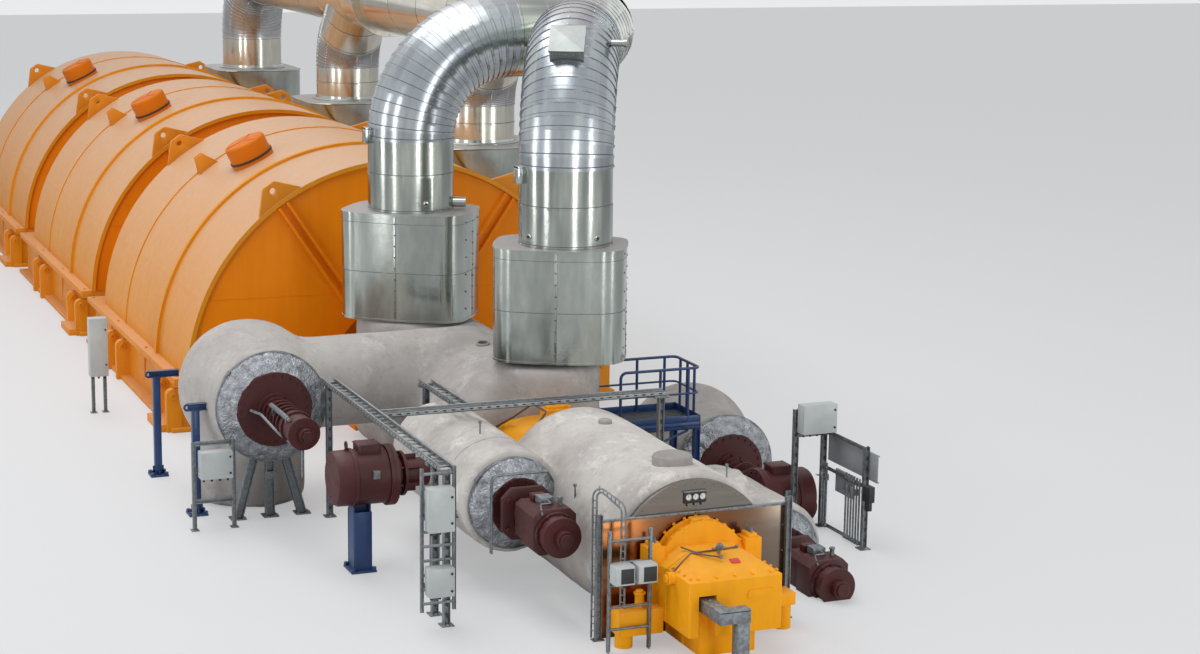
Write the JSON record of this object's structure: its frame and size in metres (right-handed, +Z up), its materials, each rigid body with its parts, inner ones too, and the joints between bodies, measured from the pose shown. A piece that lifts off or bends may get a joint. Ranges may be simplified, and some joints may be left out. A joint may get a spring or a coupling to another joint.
{
  "type": "steam turbine, 1:2 scale model",
  "caption": "Steam turbine with round-topped low-pressure hoods, clad crossover pipes, insulated casings, red valve actuators and an access platform.",
  "frame": {"origin": "on the floor, under the shaft, at the middle of the mid-pressure casing", "axes": "+X along the shaft towards the high-pressure end, +Y to its right as seen from the front, +Z up"},
  "size_m": [21.865, 5.1848, 4.1],
  "materials": {
    "orange_paint": "satin orange enamel, paler where the light grazes the crown",
    "bright_cladding": "bright aluminium sheet over insulation, screwed seams",
    "white_insulation": "hard white insulation plaster, blotched and dusty",
    "foil": "crinkled foil cloth round the valve faces",
    "red_paint": "semi-gloss dark red enamel",
    "steel_sheet": "bare rolled steel sheet",
    "galvanised": "galvanised steel, dull grey",
    "blue_paint": "dark blue paint",
    "grey_enclosure": "pale grey enclosure paint"
  },
  "bodies": {
    "root": {"blue_posts": "blue_paint", "box_stands": "galvanised", "cable_ladder": "galvanised", "cable_trays": "galvanised", "coupling_covers": "orange_paint", "crossover_header": "bright_cladding", "front_duct": "galvanised", "front_ladder": "galvanised", "front_pedestal": "orange_paint", "front_riser": "bright_cladding", "front_screen": "steel_sheet", "gauge_boxes": "grey_enclosure", "gauge_panel": "grey_enclosure", "handrail_arch": "galvanised", "high_actuators": "red_paint", "high_caps": "white_insulation", "high_casing": "white_insulation", "high_end_plate": "steel_sheet", "high_left_chest": "white_insulation", "high_right_chest": "white_insulation", "high_rings": "foil", "inlet_boxes": "bright_cladding", "lifting_lugs": "orange_paint", "low1_base": "orange_paint", "low1_end_walls": "orange_paint", "low1_hood": "orange_paint", "low2_base": "orange_paint", "low2_end_walls": "orange_paint", "low2_hood": "orange_paint", "low3_base": "orange_paint", "low3_end_walls": "orange_paint", "low3_hood": "orange_paint", "low_downcomers": "bright_cladding", "low_mid_bearing": "orange_paint", "mid_actuators": "red_paint", "mid_casing": "white_insulation", "mid_high_bearing": "orange_paint", "mid_left_stand": "galvanised", "mid_left_valve": "white_insulation", "mid_right_valve": "white_insulation", "mid_rings": "foil", "outlet_boxes": "bright_cladding", "pedestal_rear": "orange_paint", "platform_deck": "blue_paint", "platform_posts": "blue_paint", "platform_railings": "blue_paint", "rack_panels": "galvanised", "rack_tubes": "galvanised", "rear_bearing": "orange_paint", "rear_riser": "bright_cladding", "relief_covers": "orange_paint", "right_rack": "galvanised", "riser_boxes": "bright_cladding", "riser_hatch": "bright_cladding", "rotor_coupling": "steel_sheet", "side_actuators": "red_paint", "side_posts": "blue_paint", "switch_boxes": "grey_enclosure", "tray_posts": "galvanised"}
  },
  "joints": []
}
